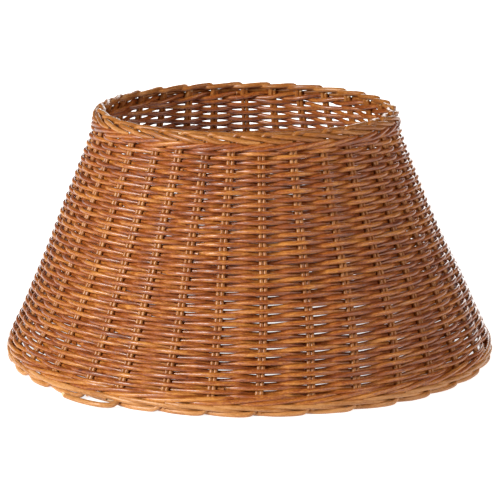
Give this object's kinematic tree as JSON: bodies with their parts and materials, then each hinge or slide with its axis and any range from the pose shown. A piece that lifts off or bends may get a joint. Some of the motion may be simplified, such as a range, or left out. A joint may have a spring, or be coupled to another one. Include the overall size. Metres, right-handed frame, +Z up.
{
  "type": "christmas tree collar",
  "caption": "Woven wicker christmas tree collar: an open cone of paired stakes and plain weaving, with twisted wales and rope borders at foot and top.",
  "frame": {"origin": "centre of the collar's axis, on the floor that its foot border stands on", "axes": "+Z up along the collar's axis; -Y towards the picture's viewer; +X to the viewer's right"},
  "size_m": [0.5803, 0.5797, 0.298],
  "materials": {
    "stake_wicker": "satin",
    "weaver_wicker": "satin",
    "wale_wicker": "satin"
  },
  "bodies": {
    "root": {"stake_pair_01": "stake_wicker", "stake_pair_02": "stake_wicker", "stake_pair_03": "stake_wicker", "stake_pair_04": "stake_wicker", "stake_pair_05": "stake_wicker", "stake_pair_06": "stake_wicker", "stake_pair_07": "stake_wicker", "stake_pair_08": "stake_wicker", "stake_pair_09": "stake_wicker", "stake_pair_10": "stake_wicker", "stake_pair_11": "stake_wicker", "stake_pair_12": "stake_wicker", "stake_pair_13": "stake_wicker", "stake_pair_14": "stake_wicker", "stake_pair_15": "stake_wicker", "stake_pair_16": "stake_wicker", "stake_pair_17": "stake_wicker", "stake_pair_18": "stake_wicker", "stake_pair_19": "stake_wicker", "stake_pair_20": "stake_wicker", "stake_pair_21": "stake_wicker", "stake_pair_22": "stake_wicker", "stake_pair_23": "stake_wicker", "stake_pair_24": "stake_wicker", "stake_pair_25": "stake_wicker", "stake_pair_26": "stake_wicker", "stake_pair_27": "stake_wicker", "stake_pair_28": "stake_wicker", "stake_pair_29": "stake_wicker", "stake_pair_30": "stake_wicker", "stake_pair_31": "stake_wicker", "weaver_01": "weaver_wicker", "weaver_02": "weaver_wicker", "weaver_03": "weaver_wicker", "weaver_04": "weaver_wicker", "weaver_05": "weaver_wicker", "weaver_06": "weaver_wicker", "weaver_07": "weaver_wicker", "weaver_08": "weaver_wicker", "weaver_09": "weaver_wicker", "weaver_10": "weaver_wicker", "weaver_11": "weaver_wicker", "weaver_12": "weaver_wicker", "weaver_13": "weaver_wicker", "weaver_14": "weaver_wicker", "weaver_15": "weaver_wicker", "weaver_16": "weaver_wicker", "weaver_17": "weaver_wicker", "foot_wale_1": "wale_wicker", "foot_wale_2": "wale_wicker", "foot_wale_3": "wale_wicker", "top_wale_1": "wale_wicker", "top_wale_2": "wale_wicker", "top_wale_3": "wale_wicker"}
  },
  "joints": []
}
